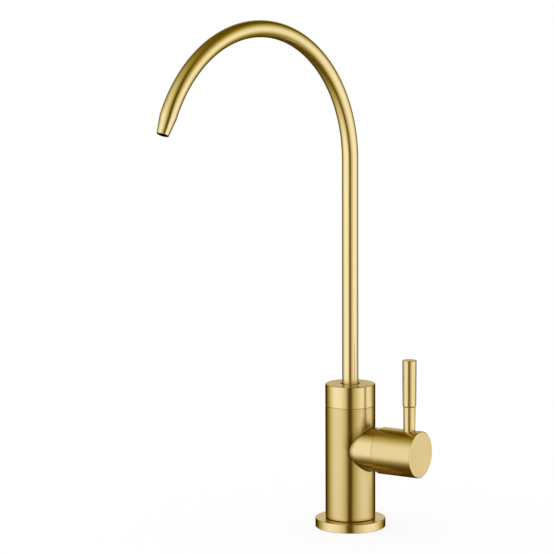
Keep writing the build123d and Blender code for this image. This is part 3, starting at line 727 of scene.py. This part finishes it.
# Camera: where the fitted lines of the arch, the body and the handle put it, with the slight roll that the
# upright lines show.
camera_place = Vector((0.73873, -1.24665, 0.35093))
camera_look = Vector((-0.53146, 0.83656, -0.13316))
camera_roll = radians(-0.286)
camera_lens = 154.63
camera_sensor = 36.0
camera_data = bpy.data.cameras.new("camera")
camera_data.lens = camera_lens
camera_data.sensor_width = camera_sensor
camera = bpy.data.objects.new("camera", camera_data)
camera.location = camera_place
camera_aim = camera_look.to_track_quat("-Z", "Y") @ Quaternion((0, 0, 1), camera_roll)
camera.rotation_euler = camera_aim.to_euler()
bpy.context.scene.collection.objects.link(camera)
bpy.context.scene.camera = camera
bpy.context.scene.view_settings.view_transform = "Standard"

# Studio light: a white room for the floor and the dull pieces, and a tent that only the metal mirrors, with
# soft lights to the left and to the right, a faint one high on the left, and white paper behind between
# dark corners. A light is its azimuth from the camera, its elevation, its strength and its narrowness.
world = bpy.data.worlds.new("studio")
bpy.context.scene.world = world
world.use_nodes = True
room = world.node_tree.nodes["Background"]
room.inputs["Color"].default_value = paper_white
room.inputs["Strength"].default_value = 1.0
tent_radius = 2.5
tent_rings = 25
tent_sides = 48
tent_dark = 0.10
soft_lights = [
    (-62, 5, 1.05, 2.0),
    (57, -8, 0.87, 2.9),
    (104, 12, 0.48, 4.5),
    (-40, 48, 0.15, 6.0),
    (180, 20, 1.00, 20.0),
    (-152, -8, -0.10, 25.0),
    (150, -8, -0.16, 25.0),
    (150, 30, -0.16, 10.0),
]
eye_power = 2.2
green_start = 0.11
blue_start = 0.48
tint_steps = 12
camera_heading = float(np.arctan2(camera_place.y, camera_place.x))


def tent_points(rises, turns):
    """A sphere: each point is the radius times the cosines and sines of its rise and its turn."""
    rise, turn = np.meshgrid(rises, turns, indexing="ij")
    return tent_radius * np.stack(
        [np.cos(rise) * np.cos(turn), np.cos(rise) * np.sin(turn), np.sin(rise)], axis=-1
    )


def only_mirrored(thing):
    """Keep a thing of the studio out of sight of everything but the metal's reflections."""
    bpy.context.scene.collection.objects.link(thing)
    thing.visible_camera = False
    thing.visible_diffuse = False
    thing.visible_shadow = False
    thing.visible_transmission = False


def soft_light(tree, way, azimuth, elevation, strength, narrowness):
    """Light of one soft box: its strength times a power of the cosine of the angle from its middle."""
    heading = camera_heading + radians(azimuth)
    rise = radians(elevation)
    middle = (cos(rise) * cos(heading), cos(rise) * sin(heading), sin(rise))
    front = calculate(tree, "MAXIMUM", calculate_vector(tree, "DOT_PRODUCT", way, middle), 0.0)
    return calculate(tree, "MULTIPLY", calculate(tree, "POWER", front, narrowness), strength)


def warm(level):
    """Colour of the studio at a level from black to white. Red is the level itself; on the eye's scale,
    green and blue start a little later and end level with it, so the darker, the warmer."""
    eye = level ** (1 / eye_power)
    late = [max(0.0, (eye - start) / (1 - start)) ** eye_power for start in (green_start, blue_start)]
    return (level, *late, 1)


def tent_cloth(name):
    """Cloth that glows, all over at the tent's dark level, with the sum of the soft lights on top, each
    level in its own warm colour. The colours are set closer together where it is dark."""
    material, tree, shader = new_finish(name)
    tree.nodes.remove(shader)
    place = node(tree, "ShaderNodeTexCoord").outputs["Object"]
    way = calculate_vector(tree, "NORMALIZE", place)
    level = tent_dark
    for light in soft_lights:
        level = calculate(tree, "ADD", level, soft_light(tree, way, *light))
    tints = node(tree, "ShaderNodeValToRGB", {0: level})
    stops = tints.color_ramp.elements
    for step in np.linspace(0, 1, tint_steps)[1:-1]:
        stops.new(float(step) ** 2)
    for stop in stops:
        stop.color = warm(stop.position)
    glow = node(tree, "ShaderNodeEmission", {"Color": tints.outputs[0], "Strength": 1.0}).outputs[0]
    tree.links.new(glow, tree.nodes["Material Output"].inputs["Surface"])
    material.cycles.emission_sampling = "NONE"
    return material


tent_rises = np.linspace(-pi / 2, pi / 2, tent_rings)
tent_grid = np.arange(tent_rings * tent_sides).reshape(tent_rings, tent_sides)
tent_quads = np.stack(
    [
        tent_grid[:-1],
        tent_grid[1:],
        np.roll(tent_grid[1:], -1, axis=1),
        np.roll(tent_grid[:-1], -1, axis=1),
    ],
    axis=-1,
).reshape(-1, 4)
tent_skin = tent_points(tent_rises, once_round(tent_sides)).reshape(-1, 3)
tent_mesh = bpy.data.meshes.new("tent")
tent_mesh.from_pydata(tent_skin.tolist(), [], tent_quads.tolist())
tent_mesh.materials.append(tent_cloth("tent_cloth"))
only_mirrored(bpy.data.objects.new("tent", tent_mesh))

# Cards: a narrow dark flag between the tap and the camera, which draws the dark line down the tube, the body
# and the lever, a small white card that lights the handle's end, and a dark sheet that darkens its
# underside. Only the metal mirrors them, and their edges are soft.
flag_distance = 0.30
flag_shift = -0.010
flag_half = 0.089
flag_soft = 0.058
flag_height = 0.7
flag_level = 0.065
bounce_distance = 0.08
bounce_half = 0.034
bounce_soft = 0.020
bounce_level = 1.0
under_depth = 0.08
under_half = 0.30
under_soft = 0.29
under_level = 0.07


def soft_card(name, middle, side, rise, half_width, half_height, soft, level):
    """A flat card: its corners are its middle, plus and minus its half width along its side, plus and
    minus its half height along its rise. It glows at its level and clears towards its edges."""
    flat = np.array(card_corners) * (half_width, half_height)
    points = np.array(middle) + flat[:, :1] * np.array(side) + flat[:, 1:] * np.array(rise)
    mesh = bpy.data.meshes.new(name)
    mesh.from_pydata(points.tolist(), [], [(0, 1, 2, 3)])
    mesh.uv_layers.new(name="metres").data.foreach_set("uv", flat.reshape(-1))
    only_mirrored(bpy.data.objects.new(name, mesh))
    material, tree, shader = new_finish(name + "_card")
    tree.nodes.remove(shader)
    metres = node(tree, "ShaderNodeUVMap", uv_map="metres").outputs[0]
    away = calculate_vector(tree, "ABSOLUTE", metres)
    parts = node(tree, "ShaderNodeSeparateXYZ", {0: away}).outputs
    in_width = fade(tree, parts["X"], half_width, half_width - soft, "SMOOTHSTEP")
    in_height = fade(tree, parts["Y"], half_height, half_height - soft, "SMOOTHSTEP")
    cover = calculate(tree, "MULTIPLY", in_width, in_height)
    glow = node(tree, "ShaderNodeEmission", {"Color": warm(level), "Strength": 1.0}).outputs[0]
    clear = node(tree, "ShaderNodeBsdfTransparent").outputs[0]
    card = node(tree, "ShaderNodeMixShader", {0: cover, 1: clear, 2: glow}).outputs[0]
    tree.links.new(card, tree.nodes["Material Output"].inputs["Surface"])
    material.cycles.emission_sampling = "NONE"
    mesh.materials.append(material)


to_camera = Vector((cos(camera_heading), sin(camera_heading), 0))
flag_side = Vector((-to_camera.y, to_camera.x, 0))
straight_up = Vector((0, 0, 1))
soft_card(
    "flag",
    flag_distance * to_camera + flag_shift * flag_side,
    flag_side,
    straight_up,
    flag_half,
    flag_height,
    flag_soft,
    flag_level,
)
disc_middle = Vector((barrel_high.x, 0, valve_seat[2]))
disc_sight = (camera_place - disc_middle).normalized()
disc_mirror = Vector((disc_sight.x, -disc_sight.y, -disc_sight.z))
bounce_side = disc_mirror.cross(straight_up).normalized()
soft_card(
    "bounce",
    disc_middle + bounce_distance * disc_mirror,
    bounce_side,
    bounce_side.cross(disc_mirror),
    bounce_half,
    bounce_half,
    bounce_soft,
    bounce_level,
)
soft_card(
    "under_sheet",
    -under_depth * straight_up,
    to_camera,
    flag_side,
    under_half,
    under_half,
    under_soft,
    under_level,
)
